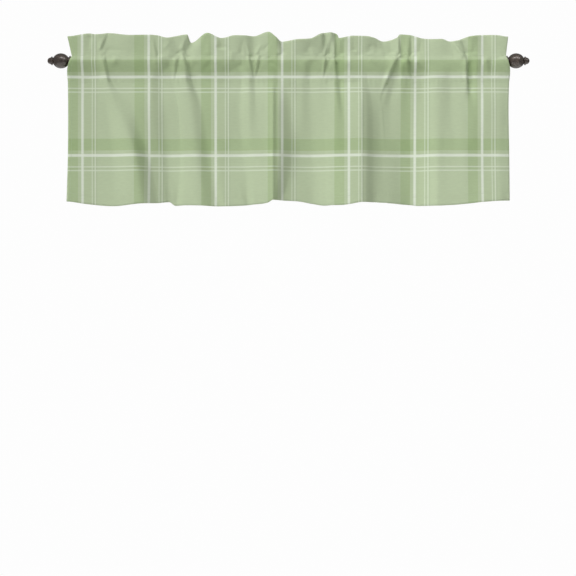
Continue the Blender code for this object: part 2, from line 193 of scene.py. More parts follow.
# The same rows below the pocket seam: where each crest or trough crosses the seam, the upper and the
# lower part of the panel, and the hem.
PANEL_FOLDS = (
    Panel(-606, 2, -605, 3, -606, 1, -610, -386, 0),
    Panel(-550, -3, -550, 1, -553, 1, -556, -393, -1),
    Panel(-520, 0, -503, 0, -490, 2, -482, -399, 3),
    Panel(-499, 7, -468, 6, -424, 21, -405, -392, 19),
    Panel(-485, 0, -432, 4, -386, -6, -357, -390, -6),
    Panel(-435, 1, -410, 6, -371, -8.5, -349, -389, -8),
    Panel(-378, 3, -381, 6, -356, -10, -341, -388, -11),
    Panel(-352, -3, -340, -1.5, -331, -15.5, -329, -387, -16.5),
    Panel(-322, -1, -305, 0, -302, -11.5, -312, -397, -18),
    Panel(-305, 2, -294, 4.5, -284, -3.5, -284, -396, -7),
    Panel(-283, 8, -269, 8.5, -253, 4, -239, -397, 3),
    Panel(-264, -4, -234, -0.5, -216, -7, -195, -399, -7.5),
    Panel(-228, 0, -207, 0, -188, -5, -176, -399, -2),
    Panel(-160, -1, -162, 4, -154, -5.5, -124, -397, -3),
    Panel(-132, -1, -138, 2, -129, -4, -113, -396, -6),
    Panel(-109, 5, -106, 13, -99, 6.5, -91, -394, 3.5),
    Panel(-91, -1, -88, 10, -82, 11.5, -77, -393, 7.5),
    Panel(-67, 2, -66, 11.5, -61, 16, -58, -390, 14),
    Panel(-45, 4, -43, 15.5, -42, 21, -42, -382, 18),
    Panel(-6, 3, 8, -3, 16, -9, -14, -383, -10),
    Panel(34, 3, 37, -1, 36, -13.5, 25, -385, -10),
    Panel(59, -1, 59, -4, 63, -15, 66, -392, -15),
    Panel(85, 4, 92, 1.5, 98, -7, 100, -397, -7),
    Panel(102, 5, 106, 5, 116, 1, 121, -396, 3),
    Panel(127, 5, 131, 12, 138, 9, 143, -396, 10),
    Panel(142, 1.5, 146, 10.5, 151, 12, 157, -395, 14),
    Panel(155, 4, 162, 13, 168, 15, 171, -393, 17.5),
    Panel(201, 7, 202, 21, 203, 22, 204, -388, 22),
    Panel(220, 4, 232, 3, 236, -1, 237, -388, -2),
    Panel(242, 4, 248, -2, 256, -9, 258, -389, -6.5),
    Panel(256, 3, 257, -3.5, 266, -10.5, 268, -389, -8.5),
    Panel(267, 4, 262, -5, 272, -11.5, 275, -390, -10),
    Panel(290, -5, 282, -9, 288, -14.5, 290, -391, -14.5),
    Panel(315, -1, 305, -8.5, 310, -18.5, 312, -393, -22.5),
    Panel(331, -4, 332, -10.5, 336, -20, 340, -395, -28),
    Panel(358, -6, 356, -8, 354, -16, 355, -397, -24),
    Panel(410, 10.5, 413, 10, 413, 11, 413, -398, 18.5),
    Panel(425, 9.5, 428, 8.5, 430, 10, 432, -397, 18.5),
    Panel(446, 5, 446, 6, 451, 10, 454, -396, 19),
    Panel(486, 7, 480, 9, 484, 11.5, 487, -393, 20),
    Panel(497, -1, 503, 9, 506, 9.5, 506, -391, 19.5),
    Panel(517, 4, 521, 8, 522, 8, 522, -389, 20),
    Panel(539, 2, 539, 9, 542, 7, 545, -387, 20),
    Panel(573, 3, 575, 9, 575, 8, 575, -385, 20.5),
    Panel(606, 1, 604, 4, 606, 4, 606, -384, 13),
)

Crease = namedtuple("Crease", "kind x_from z_from x_to z_to wide raise_by")

# Small creases that run out from the gathers, in millimetres: from where to where, half their width at
# the start, and how far they raise the cloth. A ridge has one crest, or is a trough where raise_by is
# negative. A lip has a crest on its left and a trough on its right.
CREASES = (
    Crease("ridge", -546, 70, -550, 18, 8, -3.4),
    Crease("lip", -518, 23, -494, 81, 5.2, 2.9),
    Crease("lip", -507, 9, -493, -66, 5.2, 2.6),
    Crease("ridge", -468, 12, -492, -24, 9, 4),
    Crease("lip", -359, 6, -371, 61, 6, 2.6),
    Crease("lip", -366, 9, -351, -43, 4.5, 1.4),
    Crease("ridge", -319, -10, -346, -28, 10, -4.2),
    Crease("ridge", -308, 17, -294, 28, 4.6, -2.9),
    Crease("lip", -304, 9, -314, -51, 5, 4.2),
    Crease("lip", -287, 20, -264, -65, 6.4, 5.2),
    Crease("lip", -270, -54, -245, -131, 9, 2),
    Crease("ridge", -250, -5, -270, -32, 8, -3.3),
    Crease("ridge", -209, -5, -236, -29, 8, -3.3),
    Crease("ridge", -220, 12, -220, 61, 10, 2.4),
    Crease("ridge", -182, 28, -190, 67, 8, -2.9),
    Crease("ridge", -154, 28, -160, -16, 8, 2.9),
    Crease("ridge", -121, -5, -165, -32, 10, -4),
    Crease("ridge", -106, 12, -117, 50, 5.2, 3.7),
    Crease("lip", -108, 18, -96, -50, 4.5, 4.7),
    Crease("lip", -77, 18, -92, -50, 4.5, 4.7),
    Crease("ridge", -91, 15, -74, 48, 5.2, 3.7),
    Crease("ridge", -72, 23, -44, 56, 7, -2.6),
    Crease("lip", -19, 15, -22, 56, 5.8, 3.7),
    Crease("ridge", -55, 12, -51, -16, 5.8, -3.3),
    Crease("ridge", -54, 2, -21, -25, 6, -5.2),
    Crease("ridge", 77, 6, 47, 56, 7, 2.6),
    Crease("lip", 56, 4, 50, -51, 11, 3),
    Crease("ridge", 91, 12, 97, 60, 9, -3.7),
    Crease("ridge", 98, 12, 109, 60, 5.2, 4),
    Crease("ridge", 113, 12, 118, 62, 6, -5.4),
    Crease("ridge", 125, 12, 127, 62, 5.2, 4),
    Crease("ridge", 149, 12, 150, 60, 9, -4.6),
    Crease("ridge", 104, 15, 118, 6, 5.2, 4.6),
    Crease("ridge", 129, 15, 118, 6, 5.2, 4.6),
    Crease("lip", 106, 10, 95, -50, 5, 5.2),
    Crease("lip", 129, 9, 135, -54, 5, 5.2),
    Crease("lip", 132, -46, 146, -153, 9, 2.6),
    Crease("ridge", 160, 6, 162, -54, 10, 3.3),
    Crease("ridge", 182, 23, 176, 61, 7, -3.4),
    Crease("ridge", 226, 17, 214, 72, 14, -4.1),
    Crease("lip", 304, 17, 248, -109, 6.6, 4.8),
    Crease("ridge", 302, 15, 316, 6, 5.2, 4.6),
    Crease("ridge", 333, 17, 316, 6, 5.2, 4.6),
    Crease("ridge", 315, 6, 308, -65, 6, 3.7),
    Crease("lip", 328, 10, 338, -50, 7, 7.2),
    Crease("ridge", 346, 9, 342, 61, 5.2, 4.6),
    Crease("ridge", 345, 9, 358, -16, 4, 2.6),
    Crease("ridge", 346, 1, 393, -35, 8, 2.9),
    Crease("lip", 487, 9, 454, 53, 6, 4.2),
    Crease("lip", 491, 4, 496, -87, 7, 5.7),
    Crease("lip", 491, -65, 506, -153, 8, 1.6),
    Crease("ridge", 517, 12, 517, -54, 9, 3.3),
    Crease("lip", 547, 10, 555, -50, 8, 3.6),
    Crease("ridge", 575, 6, 578, -54, 11, 1.4),
    Crease("ridge", 528, -282, 602, -362, 10, -1),
    Crease("lip", -38, 0, -41, -700, 5, 2.6),
    Crease("ridge", 52, 15, 58, 61, 9, -2.8),
    Crease("lip", -290, 24, -281, 66, 5.5, 3),
    Crease("ridge", 283, 15, 275, 61, 8, -4.3),
    Crease("ridge", 360, 17, 363, 61, 7, -2.6),
    Crease("ridge", 506, 15, 512, 61, 7, -2.8),
    Crease("ridge", -275, 9, -280, -43, 5, 2.4),
    Crease("ridge", -132, 12, -126, 56, 7, -2.4),
    Crease("lip", 203, -40, 203, -700, 5, 1.6),
    Crease("ridge", 245, 15, 240, 58, 9, -3),
    Crease("lip", 334, 10, 334, 70, 9, 5.4),
    Crease("lip", 306, 12, 304, 68, 6, 3.8),
    Crease("ridge", -500, -3, -452, -9, 7, 3.4),
    Crease("ridge", -505, 31, -445, 27, 8, -2.4),
    Crease("ridge", -200, 38, -162, 33, 8, -2.8),
    Crease("ridge", -345, 30, -322, 52, 6, 2.4),
    Crease("ridge", 215, 42, 272, 28, 9, -2.8),
    Crease("ridge", 222, 4, 243, -14, 6, 3),
    Crease("ridge", 50, 40, 92, 28, 8, -2.4),
)

Stripe = namedtuple("Stripe", "start end tone light")

# The plaid, in millimetres from the middle of each broad white line. Tone is the dye of the yarn, as
# parts of the ground's red, green and blue. Light is how far a stripe goes towards the white yarn.
REPEAT_ACROSS = 183.0
FIRST_ACROSS = -17.0
STRIPES_ACROSS = (
    Stripe(-40.0, -12.8, (0.855, 0.9, 0.795), 0.0),
    Stripe(-3.9, 2.8, (1.0, 1.0, 1.0), 0.66),
    Stripe(5.5, 24.4, (0.955, 0.957, 0.94), 0.0),
    Stripe(25.4, 27.4, (1.0, 1.0, 1.0), 0.42),
    Stripe(28.0, 32.4, (0.93, 0.935, 0.93), 0.0),
    Stripe(33.2, 36.2, (1.0, 1.0, 1.0), 0.4),
    Stripe(37.0, 40.0, (0.92, 0.925, 0.92), 0.0),
)
REPEAT_ALONG = 215.6
FIRST_ALONG = -261.2
STRIPES_ALONG = (
    Stripe(14.6, 47.0, (0.84, 0.89, 0.775), 0.0),
    Stripe(-2.8, 4.8, (1.0, 1.0, 1.0), 0.68),
    Stripe(-9.5, -7.5, (0.965, 0.97, 0.96), 0.0),
    Stripe(-14.5, -12.5, (0.965, 0.97, 0.96), 0.0),
    Stripe(-19.5, -17.5, (0.965, 0.97, 0.96), 0.0),
    Stripe(-31.9, -28.7, (1.0, 1.0, 1.0), 0.42),
    Stripe(-37.0, -33.0, (0.95, 0.955, 0.95), 0.0),
    Stripe(-42.2, -38.8, (1.0, 1.0, 1.0), 0.4),
)
STRIPE_EDGE = 0.9


def from_hex(text):
    """An sRGB hex colour such as "#b4c2a2" as linear red, green, blue and alpha."""
    parts = [int(text[start : start + 2], 16) / 255 for start in (1, 3, 5)]
    linear = [part / 12.92 if part <= 0.04045 else ((part + 0.055) / 1.055) ** 2.4 for part in parts]
    return (*linear, 1.0)


def add(tree, kind, sockets=None, **settings):
    """Adds a node. settings are its properties, and sockets maps its inputs to values or to outputs."""
    node = tree.nodes.new(kind)
    for name, value in settings.items():
        setattr(node, name, value)
    for name, value in (sockets or {}).items():
        if isinstance(value, bpy.types.NodeSocket):
            tree.links.new(value, node.inputs[name])
        else:
            node.inputs[name].default_value = value
    return node


def new_material(name, **sockets):
    """A material with a Principled shader whose sockets have these values, with its tree and shader."""
    material = bpy.data.materials.new(name)
    material.use_nodes = True
    tree = material.node_tree
    shader = tree.nodes["Principled BSDF"]
    for socket, value in sockets.items():
        shader.inputs[socket.replace("_", " ")].default_value = value
    return material, tree, shader


def chart(ramp, stripes, repeat, colour_of, ground):
    """Sets a colour ramp to a row of stripes with soft edges, laid out over one repeat of the plaid.

    A stripe that crosses the repeat's start is moved on by one repeat. Four stops make each stripe: the
    ground just outside each of its edges and its own colour just inside them.
    """
    stops = []
    for stripe in stripes:
        start, end = stripe.start % repeat, stripe.end % repeat
        pieces = [(start, end)] if start < end else [(start, repeat), (0.0, end)]
        for low, high in pieces:
            if low > 0.0:
                stops.append((low - STRIPE_EDGE / 2, ground))
            stops.append((low + STRIPE_EDGE / 2 if low > 0.0 else 0.0, colour_of(stripe)))
            stops.append((high - STRIPE_EDGE / 2 if high < repeat else repeat, colour_of(stripe)))
            if high < repeat:
                stops.append((high + STRIPE_EDGE / 2, ground))
    stops.sort(key=lambda stop: stop[0])
    elements = ramp.color_ramp.elements
    while len(elements) > 1:
        elements.remove(elements[-1])
    elements[0].position, elements[0].color = stops[0][0] / repeat, stops[0][1]
    for place, colour in stops[1:]:
        elements.new(min(place / repeat, 1.0)).color = colour


def stripe_ramps(tree, coordinate, stripes, repeat, first):
    """Two ramps along one direction of the cloth: the stripes' tones, and where the white yarn shows."""
    turns = add(
        tree,
        "ShaderNodeMath",
        {0: coordinate, 1: 1 / (repeat * MM), 2: -first / repeat},
        operation="MULTIPLY_ADD",
    )
    place = add(tree, "ShaderNodeMath", {0: turns.outputs[0]}, operation="FRACT")
    tones = add(tree, "ShaderNodeValToRGB", {0: place.outputs[0]})
    tinted = [stripe for stripe in stripes if not stripe.light]
    chart(tones, tinted, repeat, lambda stripe: (*stripe.tone, 1.0), (1.0, 1.0, 1.0, 1.0))
    lights = add(tree, "ShaderNodeValToRGB", {0: place.outputs[0]})
    whites = [stripe for stripe in stripes if stripe.light]
    chart(lights, whites, repeat, lambda stripe: (*[stripe.light] * 3, 1.0), (0.0, 0.0, 0.0, 1.0))
    return tones.outputs[0], lights.outputs[0]


def plaid_material(settings):
    """Polyester microfibre in plain weave, with the plaid printed on: matt, soft and slightly fuzzy."""
    material, tree, shader = new_material(
        "printed_microfibre_plain_weave",
        Roughness=0.82,
        Sheen_Weight=0.18,
        Sheen_Roughness=0.5,
        Specular_IOR_Level=0.25,
    )
    # The pattern follows the flat cloth: the UV map holds metres across and along it.
    flat = add(tree, "ShaderNodeUVMap", uv_map="cloth")
    axes = add(tree, "ShaderNodeSeparateXYZ", {0: flat.outputs[0]})
    across, along = axes.outputs[0], axes.outputs[1]
    tone_a, light_a = stripe_ramps(tree, across, STRIPES_ACROSS, REPEAT_ACROSS, FIRST_ACROSS)
    tone_b, light_b = stripe_ramps(tree, along, STRIPES_ALONG, REPEAT_ALONG, FIRST_ALONG)
    tones = add(
        tree,
        "ShaderNodeMix",
        {0: 1.0, 6: tone_a, 7: tone_b},
        data_type="RGBA",
        blend_type="MULTIPLY",
    )
    dyed = add(
        tree,
        "ShaderNodeMix",
        {0: 1.0, 6: tones.outputs[2], 7: tuple(settings.ground)},
        data_type="RGBA",
        blend_type="MULTIPLY",
    )
    light = add(tree, "ShaderNodeMath", {0: light_a, 1: light_b}, operation="MAXIMUM")
    both = add(tree, "ShaderNodeMath", {0: light_a, 1: light_b}, operation="MULTIPLY")
    light = add(
        tree,
        "ShaderNodeMath",
        {0: both.outputs[0], 1: 0.3, 2: light.outputs[0]},
        operation="MULTIPLY_ADD",
        use_clamp=True,
    )
    striped = add(
        tree,
        "ShaderNodeMix",
        {0: light.outputs[0], 6: dyed.outputs[2], 7: tuple(settings.white)},
        data_type="RGBA",
    )
    # Slubs: threads of uneven thickness take the dye unevenly, in short streaks across the cloth.
    stretched = add(tree, "ShaderNodeMapping", {"Vector": flat.outputs[0], "Scale": (0.25, 1.0, 1.0)})
    slubs = add(
        tree,
        "ShaderNodeTexNoise",
        {"Vector": stretched.outputs[0], "Scale": 260.0, "Detail": 3.0, "Roughness": 0.6},
    )
    uneven = add(
        tree,
        "ShaderNodeMapRange",
        {0: slubs.outputs[0], 1: 0.3, 2: 0.7, 3: 0.97, 4: 1.03},
    )
    mottled = add(
        tree,
        "ShaderNodeMix",
        {0: 1.0, 6: striped.outputs[2], 7: uneven.outputs[0]},
        data_type="RGBA",
        blend_type="MULTIPLY",
    )
    tree.links.new(mottled.outputs[2], shader.inputs["Base Color"])
    # Plain weave: threads go over and under each other, so the surface is a fine chequer of bumps. The
    # real threads lie 0.2 mm apart, too fine to show, so they are drawn 1.2 mm apart.
    waves = []
    for coordinate in (across, along):
        angle = add(
            tree, "ShaderNodeMath", {0: coordinate, 1: math.pi / (1.2 * MM)}, operation="MULTIPLY"
        )
        waves.append(add(tree, "ShaderNodeMath", {0: angle.outputs[0]}, operation="SINE").outputs[0])
    weave = add(tree, "ShaderNodeMath", {0: waves[0], 1: waves[1]}, operation="MULTIPLY")
    relief = add(
        tree,
        "ShaderNodeBump",
        {"Strength": 0.25, "Distance": 0.06 * MM, "Height": weave.outputs[0]},
    )
    # The nap and the small unevenness that pressing leaves
    crumple = add(
        tree,
        "ShaderNodeTexNoise",
        {"Vector": flat.outputs[0], "Scale": 38.0, "Detail": 4.0, "Roughness": 0.5},
    )
    pressed = add(
        tree,
        "ShaderNodeBump",
        {"Strength": 0.6, "Distance": 0.5 * MM, "Height": crumple.outputs[0], "Normal": relief.outputs[0]},
    )
    tree.links.new(pressed.outputs[0], shader.inputs["Normal"])
    return material


def thread_material(settings):
    """Spun polyester sewing thread in the ground's green: small bright twists, a little shinier."""
    material, tree, shader = new_material(
        "spun_polyester_thread", Roughness=0.6, Sheen_Weight=0.2, Specular_IOR_Level=0.35
    )
    place = add(tree, "ShaderNodeTexCoord")
    twist = add(
        tree,
        "ShaderNodeTexNoise",
        {"Vector": place.outputs["Object"], "Scale": 900.0, "Detail": 2.0},
    )
    shade = add(tree, "ShaderNodeMapRange", {0: twist.outputs[0], 1: 0.3, 2: 0.7, 3: 0.8, 4: 1.1})
    colour = add(
        tree,
        "ShaderNodeMix",
        {0: 1.0, 6: tuple(settings.thread), 7: shade.outputs[0]},
        data_type="RGBA",
        blend_type="MULTIPLY",
    )
    tree.links.new(colour.outputs[2], shader.inputs["Base Color"])
    return material


def bronze_material(settings):
    """Turned steel with an oil-rubbed bronze paint: dark brown, softly shiny, browner where it is thin."""
    material, tree, shader = new_material(
        "oil_rubbed_bronze_paint_on_turned_steel",
        Metallic=0.5,
        Coat_Weight=1.0,
        Coat_Roughness=0.2,
    )
    place = add(tree, "ShaderNodeTexCoord")
    rubbed = add(
        tree,
        "ShaderNodeTexNoise",
        {"Vector": place.outputs["Object"], "Scale": 130.0, "Detail": 5.0, "Roughness": 0.62},
    )
    amount = add(tree, "ShaderNodeMapRange", {0: rubbed.outputs[0], 1: 0.42, 2: 0.68})
    colour = add(
        tree,
        "ShaderNodeMix",
        {0: amount.outputs[0], 6: tuple(settings.dark), 7: tuple(settings.rubbed)},
        data_type="RGBA",
    )
    tree.links.new(colour.outputs[2], shader.inputs["Base Color"])
    gloss = add(tree, "ShaderNodeMapRange", {0: rubbed.outputs[0], 1: 0.3, 2: 0.7, 3: 0.4, 4: 0.52})
    tree.links.new(gloss.outputs[0], shader.inputs["Roughness"])
    # Orange peel of the sprayed coat, 1.5 mm from hill to hill
    peel = add(
        tree,
        "ShaderNodeTexNoise",
        {"Vector": place.outputs["Object"], "Scale": 650.0, "Detail": 1.0},
    )
    relief = add(
        tree,
        "ShaderNodeBump",
        {"Strength": 0.2, "Distance": 0.05 * MM, "Height": peel.outputs[0]},
    )
    tree.links.new(relief.outputs[0], shader.inputs["Normal"])
    return material


def floor_material(settings):
    """Matt painted board, nearly white, with the faint unevenness of a rolled coat."""
    material, tree, shader = new_material("matt_painted_board", Roughness=0.9)
    shader.inputs["Base Color"].default_value = tuple(settings.floor)
    place = add(tree, "ShaderNodeTexCoord")
    rolled = add(
        tree,
        "ShaderNodeTexNoise",
        {"Vector": place.outputs["Object"], "Scale": 60.0, "Detail": 3.0},
    )
    relief = add(
        tree,
        "ShaderNodeBump",
        {"Strength": 0.1, "Distance": 0.2 * MM, "Height": rolled.outputs[0]},
    )
    tree.links.new(relief.outputs[0], shader.inputs["Normal"])
    return material


def smoothstep(value):
    """0 below 0, 1 above 1, and a smooth rise between."""
    value = np.clip(value, 0.0, 1.0)
    return value * value * (3 - 2 * value)


def through(knots, values, at):
    """Smooth curves through values at the knots, one for each column of values, read at the places at.

    Each stretch is a cubic whose slopes at its ends are those of the line between the knots around. at
    has one row for each place, and one column for each curve or a single one.
    """
    knots, values = np.asarray(knots), np.asarray(values)
    at = np.broadcast_to(at, (len(at), values.shape[1]))
    order = np.arange(len(knots))
    before, after = np.maximum(order - 1, 0), np.minimum(order + 1, len(knots) - 1)
    slopes = (values[after] - values[before]) / (knots[after] - knots[before])[:, None]
    index = np.clip(np.searchsorted(knots, at, side="right") - 1, 0, len(knots) - 2)
    curve = np.arange(values.shape[1])
    width = knots[index + 1] - knots[index]
    part = (at - knots[index]) / width
    square, cube = part**2, part**3
    return (
        (2 * cube - 3 * square + 1) * values[index, curve]
        + (cube - 2 * square + part) * width * slopes[index, curve]
        + (3 * square - 2 * cube) * values[index + 1, curve]
        + (cube - square) * width * slopes[index + 1, curve]
    )


def rounded(x, out, stations):
    """The folds' section at each level, read at the stations.

    Places across run straight between the table's rows. Distances out follow a cubic that is level at
    each crest and trough and never swings past them: between two rows its end slopes are the harmonic
    mean of the slopes on both sides of a row, or nothing where these have opposite signs.
    """
    steps = np.diff(x, axis=1)
    slopes = np.diff(out, axis=1) / steps
    same = slopes[:, 1:] * slopes[:, :-1] > 0
    total = slopes[:, 1:] + slopes[:, :-1]
    mean = np.where(same, 2 * slopes[:, 1:] * slopes[:, :-1] / np.where(same, total, 1.0), 0.0)
    ends = np.pad(mean, ((0, 0), (1, 1)))
    row = np.minimum(stations.astype(int), x.shape[1] - 2)
    part = stations - row
    square, cube = part**2, part**3
    places = x[:, row] + steps[:, row] * part
    distances = (
        (2 * cube - 3 * square + 1) * out[:, row]
        + (cube - 2 * square + part) * steps[:, row] * ends[:, row]
        + (3 * square - 2 * cube) * out[:, row + 1]
        + (cube - square) * steps[:, row] * ends[:, row + 1]
    )
    return places, distances


def table_columns(table):
    """A table's columns of millimetres as arrays of metres, by name."""
    fields = [field for field in table[0]._fields if field != "name"]
    return {field: np.array([getattr(row, field) for row in table]) * MM for field in fields}


def mouth_weight(x):
    """How far a place belongs to the pocket's widened mouth, from 0 inside to 1 at the cloth's edge."""
    return smoothstep((np.abs(x) - MOUTH_START) / (MOUTH_FULL - MOUTH_START))


def clear_rod(distance, x, z):
    """A wall's distances from the rod's axis plane, moved out where the rod or a finial needs the room."""
    radius = POCKET_RADIUS + (MOUTH_RADIUS - POCKET_RADIUS) * mouth_weight(x)
    room = np.sqrt(np.maximum(radius**2 - z**2, 0.0))
    return np.where(np.abs(z) < radius, np.maximum(distance, room), distance)


def crowded(part, share):
    """Places from 0 to 1 that lie closer together near both ends, by that share of their spacing."""
    return part - share * np.sin(2 * math.pi * part) / (2 * math.pi)


def ripple(x):
    """An uneven row of small waves across the cloth, about 1 high, as thread pulls them up along a seam."""
    return sum(np.sin(2 * math.pi * x / (length * MM) + turn) for length, turn in SEAM_WAVES) / 2


def seam_relief(x, z, from_hem):
    """How far the seams shape the cloth: a narrow groove along the stitches, and puckers beside them.

    The groove is a bell curve across the seam. The puckers are the ripple, fading with the distance from
    the seam.
    """
    relief = np.zeros_like(x)
    for height in (HEADING_SEAM_Z, POCKET_SEAM_Z):
        away = np.abs(z - height)
        relief -= GROOVE_DEPTH * np.exp(-((away / GROOVE_WIDTH) ** 2))
        relief += PUCKER * np.exp(-away / PUCKER_REACH) * ripple(x)
    away = np.abs(from_hem - HEM_STITCH)
    relief -= 0.6 * GROOVE_DEPTH * np.exp(-((away / GROOVE_WIDTH) ** 2))
    relief += 0.5 * PUCKER * np.exp(-away / PUCKER_REACH) * ripple(1.3 * x)
    return relief


def crease_relief(x, z):
    """How far the small creases raise the cloth at each place seen from the front.

    Along its line each crease rises at once, then fades and narrows. Across it a ridge is a bell curve,
    and a lip is that curve times the distance from the line, so one side is raised and the other sunk.
    """
    relief = np.zeros_like(x)
    for crease in CREASES:
        start = np.array((crease.x_from, crease.z_from)) * MM
        run = np.array((crease.x_to, crease.z_to)) * MM - start
        length = math.hypot(*run)
        side = np.array((-run[1], run[0])) / length
        if side[0] < 0:
            side = -side
        part = ((x - start[0]) * run[0] + (z - start[1]) * run[1]) / length**2
        part = np.clip(part, 0.0, 1.0)
        away = ((x - start[0]) * side[0] + (z - start[1]) * side[1]) / (crease.wide * (1 - 0.5 * part) * MM)
        along = smoothstep(part / 0.2) * (1 - part) ** 0.8
        across = np.exp(-(away**2))
        if crease.kind == "lip":
            across = -away * np.exp(0.5 - 0.5 * away**2)
        relief += crease.raise_by * MM * along * across
    return relief


def station_line(head, panel):
    """Grid lines down the cloth, as places in the tables' rows.

    Between two rows they lie COLUMN_SPACING apart, or closer where a narrower crease lies.
    """
    widest = np.maximum(np.diff(panel["x_pocket"]), np.diff(panel["x_lower"]))
    widest = np.maximum(widest, np.diff(head["x_seam"]))
    seam = head["x_seam"]
    ends = np.array([sorted((crease.x_from, crease.x_to)) for crease in CREASES]) * MM
    creased = (ends[:, :1] < seam[1:]) & (ends[:, 1:] > seam[:-1])
    wide = np.array([crease.wide for crease in CREASES])[:, None] * MM
    narrowest = np.where(creased, wide, np.inf).min(axis=0)
    spacing = np.minimum(CREASE_STEP * narrowest, COLUMN_SPACING)
    counts = np.maximum(np.ceil(widest / spacing).astype(int), 2)
    lines = [row + np.arange(count) / count for row, count in enumerate(counts)]
    return np.concatenate((*lines, [float(len(counts))]))


# The cloth's grid, its places across the flat cloth, the numbers of the rows where its front starts and
# where the top edge lies, and those of its seams: the hem's front and back, the pocket's, the heading's
Sheet = namedtuple("Sheet", "grid flat_x front top seams")


def front_rows(head, panel, stations):
    """The cloth's front from the bottom edge to the top edge, as x, out and z on the grid.

    In the panel, x and out follow a smooth curve from level to level down each row of the tables. In the
    pocket, x moves over to the heading's places and out goes round the rod. In the heading both run
    straight up to the top edge, but out first curves back by SEAM_DIP, so the seam is soft. The rows of
    the tables are joined across by the rounded section.
    """
    drop = POCKET_SEAM_Z - panel["z_hem"]
    hem = 1 - (HEM_DEPTH / drop) * np.linspace(0.0, 1.0, HEM_ROWS)[:, None]
    rest = crowded(np.linspace(0.0, 1.0, PANEL_ROWS + 1)[1:, None], 0.5)
    parts = np.concatenate((hem, hem[-1:] * (1 - rest)))
    panel_x = [panel[name] for name in ("x_pocket", "x_upper", "x_lower", "x_hem")]
    panel_out = [panel[name] for name in ("out_pocket", "out_upper", "out_lower", "out_hem")]
    x = through(PANEL_KNOTS, panel_x, parts)
    out = through(PANEL_KNOTS, panel_out, parts)
    z = POCKET_SEAM_Z - parts * drop

    rise = crowded(np.linspace(0.0, 1.0, POCKET_ROWS + 1)[1:, None], 0.6)
    pocket_z = POCKET_SEAM_Z + rise * (HEADING_SEAM_Z - POCKET_SEAM_Z)
    pocket_x = panel["x_pocket"] + (head["x_seam"] - panel["x_pocket"]) * rise
    pocket_x = pocket_x + mouth_bulge(panel["x_pocket"]) * np.sin(math.pi * rise)
    under = panel["out_pocket"] + UNDER_ROD * (head["out_rod"] - panel["out_pocket"])
    pocket_out = [panel["out_pocket"], under, head["out_rod"], head["out_seam"]]
    pocket_out = through(POCKET_KNOTS, pocket_out, pocket_z)

    up = np.linspace(0.0, 1.0, HEADING_ROWS + 1)[1:, None]
    up = up - 0.5 * np.sin(math.pi * up) / math.pi
    heading_x = head["x_seam"] + (head["x_top"] - head["x_seam"]) * up
    heading_out = head["out_seam"] + (head["out_top"] - head["out_seam"]) * up
    heading_z = HEADING_SEAM_Z + (head["z_top"] - HEADING_SEAM_Z) * up
    heading_out = heading_out - SEAM_DIP * (1 - np.exp((HEADING_SEAM_Z - heading_z) / SEAM_REACH))

    x = np.concatenate((x, pocket_x, heading_x))
    out = np.concatenate((out, pocket_out, heading_out))
    z = np.concatenate((z, pocket_z * np.ones_like(drop), heading_z))
    places, distances = rounded(x, out, stations)
    heights = rounded(x, z, stations)[1]
    from_hem = heights - heights[0]
    distances = distances + crease_relief(places, heights) + seam_relief(places, heights, from_hem)
    pocket = slice(HEM_ROWS + PANEL_ROWS, HEM_ROWS + PANEL_ROWS + POCKET_ROWS - 1)
    distances[pocket] = clear_rod(distances[pocket], places[pocket], heights[pocket])
    return places, distances, heights


def mouth_bulge(x_pocket):
    """How far the pocket's ends swell sideways over the collars, fading within MOUTH_REACH of an edge."""
    near = np.maximum(1 - np.abs(x_pocket[[0, -1]][:, None] - x_pocket) / MOUTH_REACH, 0)
    return MOUTH_BULGE * (near[1] ** 2 - near[0] ** 2)


def normals_of(points):
    """Unit normals of a grid of points, rows by columns, on the side seen with rows up and columns right."""
    up = np.gradient(points, axis=0)
    right = np.gradient(points, axis=1)
    normals = np.cross(right, up)
    return normals / np.maximum(np.linalg.norm(normals, axis=2, keepdims=True), 1e-12)


